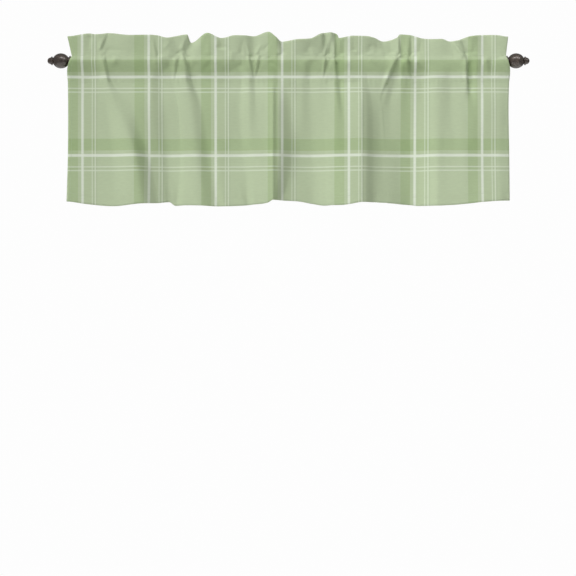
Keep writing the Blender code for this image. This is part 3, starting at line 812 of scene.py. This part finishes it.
def cloth_sheet():
    """The whole length of cloth as a grid of points, from the raw edge in its hem to that in its pocket.

    It runs up the hem's inner layer, down its back, round the bottom edge, up the front, over the top
    edge, down the heading's back, behind the rod and under at the pocket's seam. Layers that lie on the
    front are the front's points moved back along its normals.
    """
    head, panel = table_columns(HEADING_FOLDS), table_columns(PANEL_FOLDS)
    stations = station_line(head, panel)
    x, out, z = front_rows(head, panel, stations)
    front = np.stack((x, -out, z), axis=2)
    inwards = -normals_of(front)
    down = np.array((0.0, 0.0, -1.0))

    hem_top = HEM_ROWS - 1
    hem_back = front[hem_top::-1] + inwards[hem_top::-1] * HEM_GAP
    turned_in = front[2:hem_top] + inwards[2:hem_top] * HEM_GAP * 0.5
    hem_fold = front[hem_top] + inwards[hem_top] * HEM_GAP * 0.8 - down * 1.0 * MM
    bottom = front[0] + inwards[0] * HEM_GAP * 0.5 + down * 0.6 * MM
    hem = [*turned_in, hem_fold, *hem_back, bottom]
    hem_rows = [*range(2, hem_top), hem_top, *range(hem_top, -1, -1), 0]

    seam = HEM_ROWS + PANEL_ROWS + POCKET_ROWS - 1
    low = HEM_ROWS + PANEL_ROWS - 1
    rise = np.linspace(0.0, 1.0, HEADING_ROWS // 2 + 1)[:, None, None]
    gap = LAYER_GAP + (HEADING_GAP - LAYER_GAP) * smoothstep(rise * 2.2)
    heading_back = front[seam::2] + inwards[seam::2] * gap
    top = front[-1] + inwards[-1] * HEADING_GAP * 0.5 - down * 0.9 * MM

    gathered = np.interp(stations, np.arange(len(HEADING_FOLDS)), head["out_rod"]) - POCKET_RADIUS
    low_y = (front[low] + inwards[low] * LAYER_GAP)[:, 1]
    high_y = heading_back[0][:, 1]
    behind_rod = POCKET_RADIUS + BACK_GATHER * gathered
    behind = [low_y, 0.5 * (low_y + behind_rod), behind_rod, high_y]
    pocket = slice(seam - 2, low, -2)
    back_y = through(POCKET_KNOTS, behind, z[pocket])
    back_y = clear_rod(back_y, x[pocket], z[pocket])
    pocket_back = np.stack((x[pocket], back_y, z[pocket]), axis=2)

    flap_rows = (low, low - 1)
    flap = [
        front[low] + inwards[low] * LAYER_GAP,
        front[low] + inwards[low] * LAYER_GAP * 1.1 + down * (POCKET_SEAM_Z - FLAP_EDGE_Z),
        front[low] + inwards[low] * LAYER_GAP * 0.9 + down * (POCKET_SEAM_Z - FLAP_EDGE_Z + 0.6 * MM),
        front[low] + inwards[low] * LAYER_GAP * 0.55 + down * (POCKET_SEAM_Z - FLAP_EDGE_Z),
    ]
    grid = np.array([*hem, *front, top, *heading_back[::-1], *pocket_back, *flap])
    rows = [*hem_rows, *range(len(front)), len(front) - 1]
    rows += [*range(len(front) - 1, seam - 1, -2), *range(seam - 2, low, -2), *[low] * len(flap)]
    first = len(hem)
    last = first + len(front)
    stitched = HEM_STITCH / HEM_DEPTH * hem_top
    hem_back_row = len(turned_in) + 1 + hem_top - stitched
    seams = (first + stitched, hem_back_row, first + low, len(grid) - len(flap), first + seam)
    return Sheet(grid, x[rows], first, last, (*seams, last + 1 + HEADING_ROWS // 2))


class ValanceSettings(bpy.types.PropertyGroup):
    """Sizes and colours of the cloth and its sewing."""

    thickness: bpy.props.FloatProperty(
        name="Cloth thickness",
        description="Thickness of one layer of the cloth",
        default=0.6 * MM,
        min=0.2 * MM,
        max=1.0 * MM,
        unit="LENGTH",
    )
    stitch: bpy.props.FloatProperty(
        name="Stitch length",
        description="Distance from stitch to stitch along each seam",
        default=3.0 * MM,
        min=2.0 * MM,
        max=6.0 * MM,
        unit="LENGTH",
    )
    ground: bpy.props.FloatVectorProperty(
        name="Ground colour",
        description="Dye of the cloth between the stripes",
        default=from_hex("#b4c2a1"),
        size=4,
        subtype="COLOR",
    )
    white: bpy.props.FloatVectorProperty(
        name="White yarn",
        description="Colour that the light stripes tend to",
        default=from_hex("#e2e8dd"),
        size=4,
        subtype="COLOR",
    )
    thread: bpy.props.FloatVectorProperty(
        name="Thread colour",
        description="Colour of the sewing thread",
        default=from_hex("#b4c2a2"),
        size=4,
        subtype="COLOR",
    )


class MetalSettings(bpy.types.PropertyGroup):
    """Colours of the rod and its finials."""

    dark: bpy.props.FloatVectorProperty(
        name="Bronze, dark",
        description="Colour of the full coat of paint",
        default=from_hex("#453c37"),
        size=4,
        subtype="COLOR",
    )
    rubbed: bpy.props.FloatVectorProperty(
        name="Bronze, rubbed",
        description="Colour where the coat is rubbed thin",
        default=from_hex("#5d5048"),
        size=4,
        subtype="COLOR",
    )


class StudioSettings(bpy.types.PropertyGroup):
    """The floor, the light and the camera."""

    floor: bpy.props.FloatVectorProperty(
        name="Floor colour",
        description="Paint of the floor board",
        default=from_hex("#f4f4f2"),
        size=4,
        subtype="COLOR",
    )
    key_power: bpy.props.FloatProperty(
        name="Key light",
        description="Strength of the large far lamp on the upper left",
        default=2.55,
        min=0.0,
    )
    back_power: bpy.props.FloatProperty(
        name="Back light",
        description="Strength of the far lamp behind on the right",
        default=2.0,
        min=0.0,
    )
    side_power: bpy.props.FloatProperty(
        name="Side light",
        description="Power of the long soft box above the right half, in watts",
        default=8.0,
        min=0.0,
    )
    shine_power: bpy.props.FloatProperty(
        name="Shine",
        description="Power of the soft box that only shows in shiny paint, in watts",
        default=30.0,
        min=0.0,
    )
    key_spread: bpy.props.FloatProperty(
        name="Key size",
        description="Angle that the lamp fills as the object sees it, in degrees",
        default=50.0,
        min=0.0,
    )
    fill: bpy.props.FloatProperty(
        name="Fill light",
        description="Brightness of the light that comes from all round",
        default=0.25,
        min=0.0,
    )
    lens: bpy.props.FloatProperty(
        name="Focal length",
        description="Focal length of the camera's lens",
        default=100.0,
        min=20.0,
        subtype="DISTANCE_CAMERA",
    )


def new_piece(name, points, faces, material, body="root"):
    """An object from points and faces, shaded smooth, that rides on a body of the frame."""
    mesh = bpy.data.meshes.new(name)
    mesh.from_pydata(points, [], faces)
    mesh.shade_smooth()
    mesh.materials.append(material)
    piece = bpy.data.objects.new(name, mesh)
    bpy.context.scene.collection.objects.link(piece)
    if body:
        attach(piece, body)
    return piece


def grid_faces(rows, columns):
    """Corner numbers of the faces of a grid of points, row after row."""
    corner = np.arange((rows - 1) * columns).reshape(rows - 1, columns)[:, :-1].ravel()
    return np.stack((corner, corner + 1, corner + columns + 1, corner + columns), axis=1)


class VALANCE_OT_cloth(bpy.types.Operator):
    """Make the valance's cloth, from its bottom hem over the heading to the pocket's back"""

    bl_idname = "valance.cloth"
    bl_label = "Cloth"

    def execute(self, context):
        settings = context.scene.valance_cloth
        sheet = cloth_sheet()
        flat_x, grid = with_side_hems(sheet.flat_x, sheet.grid)
        rows, columns = grid.shape[:2]
        faces = grid_faces(rows, columns)
        cloth = new_piece(
            "valance",
            grid.reshape(-1, 3),
            faces,
            plaid_material(settings),
        )
        write_flat(cloth, sheet, grid, flat_x, faces)
        wall = cloth.modifiers.new("thickness", "SOLIDIFY")
        wall.thickness = settings.thickness
        wall.offset = 0.0
        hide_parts("valance_cloth")
        return {"FINISHED"}


def with_side_hems(flat_x, grid):
    """The grid with its side edges turned to the cloth's reverse side, as strips SIDE_HEM wide.

    A strip's points are the edge's neighbours moved to the reverse along the normals, joined to the edge
    by one line of points on the fold itself.
    """
    reverse = -normals_of(grid)
    strips, flats = [], []
    for columns, sign in ((np.arange(0, 5), -1), (np.arange(grid.shape[1] - 1, grid.shape[1] - 6, -1), 1)):
        edge = grid[:, columns[0]]
        strip = grid[:, columns] + reverse[:, columns] * SIDE_HEM_GAP
        outwards = grid[:, columns[0]] - grid[:, columns[1]]
        outwards = outwards / np.linalg.norm(outwards, axis=1, keepdims=True)
        fold = edge + reverse[:, columns[0]] * 0.4 * MM + outwards * 0.35 * MM
        strip[:, 0] = edge + reverse[:, columns[0]] * 0.8 * MM + outwards * 0.15 * MM
        strips.append(np.concatenate((fold[:, None], strip), axis=1))
        width = np.abs(flat_x[:, columns] - flat_x[:, columns[:1]])
        beyond = np.concatenate((np.full((len(grid), 1), 0.4 * MM), 0.8 * MM + width), axis=1)
        flats.append(flat_x[:, columns[:1]] + sign * beyond)
    grid = np.concatenate((strips[0][:, ::-1], grid, strips[1]), axis=1)
    flat_x = np.concatenate((flats[0][:, ::-1], flat_x, flats[1]), axis=1)
    return flat_x, grid


def write_flat(cloth, sheet, grid, flat_x, faces):
    """Writes the UV map: metres across the cloth, and metres along it, which is the height on the front.

    Past the bottom edge the length goes on as the height turned round at that edge. Past the top edge it
    runs evenly to the heading seam, and from there on as the height turned round at the mean top edge.
    """
    along = grid[:, :, 2].copy()
    front, top, seam = sheet.front, sheet.top, sheet.seams[-1]
    along[:front] = 2 * along[front] - along[:front]
    edge = along[top]
    past_seam = 2 * TOP_MEAN - HEADING_SEAM_Z
    down = (edge - along[top:seam]) / (edge - HEADING_SEAM_Z)
    along[top:seam] = edge + (past_seam - edge) * down
    along[seam:] = 2 * TOP_MEAN - along[seam:]
    flat = np.stack((flat_x, along), axis=2).reshape(-1, 2)
    layer = cloth.data.uv_layers.new(name="cloth")
    layer.data.foreach_set("uv", flat[faces.ravel()].astype(np.float32).ravel())


def resampled(points, normals, pitch):
    """A line of points and its normals read at equal steps of about pitch, with the line's directions."""
    steps = np.linalg.norm(np.diff(points, axis=0), axis=1)
    length = np.concatenate(([0.0], np.cumsum(steps)))
    count = int(length[-1] / pitch)
    at = (np.arange(count) + 0.5) * length[-1] / count
    centres = np.stack([np.interp(at, length, points[:, axis]) for axis in range(3)], axis=1)
    turned_up = np.stack([np.interp(at, length, normals[:, axis]) for axis in range(3)], axis=1)
    ahead = np.stack([np.interp(at + pitch / 4, length, points[:, axis]) for axis in range(3)], axis=1)
    behind = np.stack([np.interp(at - pitch / 4, length, points[:, axis]) for axis in range(3)], axis=1)
    along = ahead - behind
    return centres, turned_up, along / np.linalg.norm(along, axis=1, keepdims=True)


def stitch_mesh(centres, normals, along, pitch):
    """Points and faces of a spindle at each centre, laid along the seam with its back on the cloth.

    A ring's point at angle a is the centre, plus the ring's place along the seam, plus its radius times
    (cos a across the seam, sin a along the normal). The end points close the spindle.
    """
    normals = normals / np.linalg.norm(normals, axis=1, keepdims=True)
    across = np.cross(normals, along)
    angle = 2 * math.pi * np.arange(STITCH_SIDES) / STITCH_SIDES
    places = np.array([place for place, _ in STITCH_RINGS for _ in angle] + [-0.5, 0.5])
    radii = np.array([radius for _, radius in STITCH_RINGS for _ in angle] + [0.0, 0.0])
    turn = np.concatenate((np.tile(angle, len(STITCH_RINGS)), [0.0, 0.0]))
    offsets = (
        along[:, None] * (places * pitch * STITCH_PART)[:, None]
        + across[:, None] * (radii * np.cos(turn) * STITCH_WIDTH / 2)[:, None]
        + normals[:, None] * (radii * np.sin(turn) * STITCH_HEIGHT / 2)[:, None]
    )
    points = (centres[:, None] + offsets).reshape(-1, 3)
    step = np.arange(STITCH_SIDES)
    after = (step + 1) % STITCH_SIDES
    last = (len(STITCH_RINGS) - 1) * STITCH_SIDES
    first_end = len(STITCH_RINGS) * STITCH_SIDES
    walls = [
        np.stack((row + step, row + after, row + STITCH_SIDES + after, row + STITCH_SIDES + step), axis=1)
        for row in range(0, last, STITCH_SIDES)
    ]
    starts = np.stack((np.full(STITCH_SIDES, first_end), after, step), axis=1)
    ends = np.stack((np.full(STITCH_SIDES, first_end + 1), last + step, last + after), axis=1)
    base = np.arange(len(centres))[:, None, None] * len(places)
    faces = [(base + part).reshape(-1, part.shape[1]).tolist() for part in (*walls, starts, ends)]
    return points, [face[::-1] for part in faces for face in part]


def line_at(grid, place):
    """The line of points at a place between a grid's rows."""
    row = min(int(place), len(grid) - 2)
    return grid[row] + (grid[row + 1] - grid[row]) * (place - row)


def sewn_lines(sheet):
    """Every line of sewing that shows, as (points, normals): the seams and the hems, on both sides."""
    normals = normals_of(sheet.grid)
    lines = [(line_at(sheet.grid, row), line_at(normals, row)) for row in sheet.seams]
    columns, column_normals = sheet.grid.swapaxes(0, 1), normals.swapaxes(0, 1)
    front, top, low = sheet.front, sheet.top, sheet.seams[2]
    middle = sheet.flat_x[(front + top) // 2]
    order = np.arange(len(middle))
    for edge in (middle[0] + SIDE_STITCH, middle[-1] - SIDE_STITCH):
        place = np.interp(edge, middle, order)
        points, turned_up = line_at(columns, place), line_at(column_normals, place)
        lines.append((points[front:top], turned_up[front:top]))
        lines.append((points[top + 2 : -3], turned_up[top + 2 : -3]))
        panel = slice(front + HEM_ROWS, low)
        lines.append((points[panel] - turned_up[panel] * SIDE_HEM_GAP, -turned_up[panel]))
    return lines


class VALANCE_OT_stitches(bpy.types.Operator):
    """Sew the seams and hems: a row of lockstitches on each side of the cloth"""

    bl_idname = "valance.stitches"
    bl_label = "Stitches"

    def execute(self, context):
        settings = context.scene.valance_cloth
        points, faces = [], []
        for line, normals in sewn_lines(cloth_sheet()):
            centres, normals, along = resampled(line, normals, settings.stitch)
            centres = centres + normals * (settings.thickness / 2 + 0.1 * MM)
            made, corners = stitch_mesh(centres, normals, along, settings.stitch)
            first = sum(len(part) for part in points)
            points.append(made)
            faces += [[corner + first for corner in face] for face in corners]
        stitches = new_piece(
            "stitches", np.concatenate(points), faces, thread_material(settings)
        )
        return {"FINISHED"}


class VALANCE_OT_rod(bpy.types.Operator):
    """Paint the rod"""

    bl_idname = "valance.rod"
    bl_label = "Rod"

    def execute(self, context):
        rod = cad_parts["rod"]
        rod.data.materials.clear()
        rod.data.materials.append(bronze_of(context))
        return {"FINISHED"}


def bronze_of(context):
    """The bronze paint, made once and used on every metal piece."""
    known = bpy.data.materials.get("oil_rubbed_bronze_paint_on_turned_steel")
    return known or bronze_material(context.scene.valance_metal)


def arc(centre, radius, start, end, count):
    """Points on a circle as (distance along the axis, radius), from angle start to angle end."""
    turn = np.linspace(start, end, count)
    return np.stack((centre[0] + radius * np.cos(turn), centre[1] + radius * np.sin(turn)), axis=1)


def finial_profile():
    """The finial's half outline in millimetres, as (distance outwards from the rod's mouth, radius).

    Outwards from the spigot in the rod: a collar with a sharp flange, a cove, the ball, which is a
    little longer than wide, a short neck and a button with a rounded nose.
    """
    start = math.acos(-math.sqrt(1 - (BALL_NECK_IN / BALL_RADIUS) ** 2))
    end = math.acos(math.sqrt(1 - (BALL_NECK_OUT / BALL_RADIUS) ** 2))
    ball = arc((0.0, 0.0), BALL_RADIUS, start, end, 40) * (BALL_LENGTHENED, 1.0) + (BALL_CENTRE, 0.0)
    spigot, length = SPIGOT_RADIUS / MM, SPIGOT_LENGTH / MM
    return np.concatenate(
        (
            [(-length, 0.0), (-length, spigot - 1.0), (1.0 - length, spigot), (0.0, spigot), (0.0, 11.6)],
            arc((1.7, 12.4), 1.6, math.radians(190), math.radians(10), 12),
            arc((5.8, 12.6), 2.8, math.radians(185), math.radians(268), 10),
            ball,
            arc((48.8, 8.9), 0.9, math.radians(200), math.radians(320), 6),
            arc((51.6, 10.2), 1.9, math.radians(165), math.radians(0), 12),
            arc((0.0, 0.0), 1.0, math.radians(88), math.radians(0), 18) * (10.0, 9.4) + (54.0, 0.0),
        )
    )


class VALANCE_OT_finials(bpy.types.Operator):
    """Turn the two ball finials"""

    bl_idname = "valance.finials"
    bl_label = "Finials"

    def execute(self, context):
        profile = finial_profile() * MM
        for name, side in (("finial_left", -1), ("finial_right", 1)):
            points, faces = turned(profile, side)
            piece = new_piece(name + "_turned", points, faces, bronze_of(context))
            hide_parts(name)
        return {"FINISHED"}


def turned(profile, side):
    """A profile of (distance from the rod's mouth, radius) turned about the rod's axis.

    A point at angle a is (x, radius cos a, radius sin a). The profile's ends lie on the axis, and each
    is one point. side is -1 for the left end and 1 for the right.
    """
    angle = 2 * math.pi * np.arange(FINIAL_SIDES) / FINIAL_SIDES
    inner = profile[1:-1]
    x = side * (ROD_HALF + MOUTH_GAP + inner[:, :1]) * np.ones(FINIAL_SIDES)
    rings = np.stack((x, inner[:, 1:] * np.cos(angle), inner[:, 1:] * np.sin(angle)), axis=2)
    ends = [(side * (ROD_HALF + MOUTH_GAP + profile[k, 0]), 0.0, 0.0) for k in (0, -1)]
    points = np.concatenate((rings.reshape(-1, 3), ends))
    step = np.arange(FINIAL_SIDES)
    after = (step + 1) % FINIAL_SIDES
    rows = np.arange(len(inner) - 1)[:, None] * FINIAL_SIDES
    walls = np.stack(
        (rows + step, rows + after, rows + FINIAL_SIDES + after, rows + FINIAL_SIDES + step), axis=2
    ).reshape(-1, 4)
    last = (len(inner) - 1) * FINIAL_SIDES
    caps = [
        np.stack((step, np.full(FINIAL_SIDES, len(points) - 2), after), axis=1),
        np.stack((last + step, last + after, np.full(FINIAL_SIDES, len(points) - 1)), axis=1),
    ]
    faces = [list(face) for part in (walls, *caps) for face in part]
    if side > 0:
        faces = [face[::-1] for face in faces]
    return points, faces


def add_lamp(name, kind, power, **settings):
    """A lamp of the stage, with its other settings."""
    light = bpy.data.lights.new(name, kind)
    light.energy = power
    for setting, value in settings.items():
        setattr(light, setting, value)
    lamp = bpy.data.objects.new(name, light)
    bpy.context.scene.collection.objects.link(lamp)
    return lamp


class VALANCE_OT_stage(bpy.types.Operator):
    """Set up the floor, the light and the camera"""

    bl_idname = "valance.stage"
    bl_label = "Studio"

    def execute(self, context):
        settings = context.scene.valance_studio
        scene = context.scene
        points = [(-3.0, -3.0, -2.05), (3.0, -3.0, -2.05), (3.0, 3.0, -2.05), (-3.0, 3.0, -2.05)]
        floor = new_piece("floor", points, [(0, 1, 2, 3)], floor_material(settings), body=None)

        world = bpy.data.worlds.new("studio")
        world.use_nodes = True
        scene.world = world
        tree = world.node_tree
        tree.nodes.clear()
        rays = add(tree, "ShaderNodeLightPath")
        strength = add(
            tree,
            "ShaderNodeMapRange",
            {0: rays.outputs["Is Camera Ray"], 3: settings.fill, 4: 0.985},
        )
        background = add(
            tree,
            "ShaderNodeBackground",
            {"Color": (1.0, 1.0, 1.0, 1.0), "Strength": strength.outputs[0]},
        )
        add(tree, "ShaderNodeOutputWorld", {"Surface": background.outputs[0]})

        spread = math.radians(settings.key_spread)
        key = add_lamp("key", "SUN", settings.key_power, angle=spread)
        key.rotation_euler = Vector(KEY_DIRECTION).to_track_quat("-Z", "Y").to_euler()
        back = add_lamp("back", "SUN", settings.back_power, angle=spread)
        back.rotation_euler = Vector(BACK_DIRECTION).to_track_quat("-Z", "Y").to_euler()
        # Only the last of the lamps shows in the paint's shine, as one soft streak.
        side = add_lamp("side", "AREA", settings.side_power, shape="RECTANGLE", size=2.2, size_y=0.14)
        shine = add_lamp("shine", "AREA", settings.shine_power, shape="RECTANGLE", size=3.0, size_y=0.45)
        ahead = Vector((SIDE_LAMP[0], 0.0, -0.2)) - Vector(SIDE_LAMP)
        for lamp in (side, shine):
            lamp.location = SIDE_LAMP
            lamp.rotation_euler = ahead.to_track_quat("-Z", "Y").to_euler()
            lamp.visible_camera = False
        for lamp in (key, back, side):
            lamp.visible_glossy = False
        shine.visible_diffuse = False

        lens = bpy.data.cameras.new("camera")
        lens.lens = settings.lens
        lens.sensor_width = 36.0
        camera = bpy.data.objects.new("camera", lens)
        scene.collection.objects.link(camera)
        camera.location = (-0.0014, -1.584 * settings.lens / 36.0, -0.6246)
        camera.rotation_euler = (math.radians(90), 0.0, 0.0)
        scene.camera = camera
        scene.view_settings.view_transform = "Standard"
        return {"FINISHED"}


class VALANCE_PT_parts(bpy.types.Panel):
    """Lists the settings and the pieces"""

    bl_label = "Valance"
    bl_idname = "VALANCE_PT_parts"
    bl_space_type = "VIEW_3D"
    bl_region_type = "UI"
    bl_category = "Valance"

    def draw(self, context):
        for group in ("valance_cloth", "valance_metal", "valance_studio"):
            settings = getattr(context.scene, group)
            for name in settings.__annotations__:
                self.layout.prop(settings, name)
        for operator in OPERATORS:
            self.layout.operator(operator.bl_idname)


GROUPS = {
    "valance_cloth": ValanceSettings,
    "valance_metal": MetalSettings,
    "valance_studio": StudioSettings,
}
OPERATORS = (VALANCE_OT_cloth, VALANCE_OT_stitches, VALANCE_OT_rod, VALANCE_OT_finials, VALANCE_OT_stage)


def register():
    """Adds the settings, operators and panel to Blender."""
    for name, group in GROUPS.items():
        bpy.utils.register_class(group)
        setattr(bpy.types.Scene, name, bpy.props.PointerProperty(type=group))
    for cls in (*OPERATORS, VALANCE_PT_parts):
        bpy.utils.register_class(cls)


def unregister():
    """Takes them out again."""
    for cls in (VALANCE_PT_parts, *reversed(OPERATORS)):
        bpy.utils.unregister_class(cls)
    for name, group in reversed(list(GROUPS.items())):
        delattr(bpy.types.Scene, name)
        bpy.utils.unregister_class(group)


def main():
    """Registers the add-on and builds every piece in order."""
    register()
    bpy.ops.valance.cloth()
    bpy.ops.valance.stitches()
    bpy.ops.valance.rod()
    bpy.ops.valance.finials()
    bpy.ops.valance.stage()


if __name__ == "__main__":
    main()
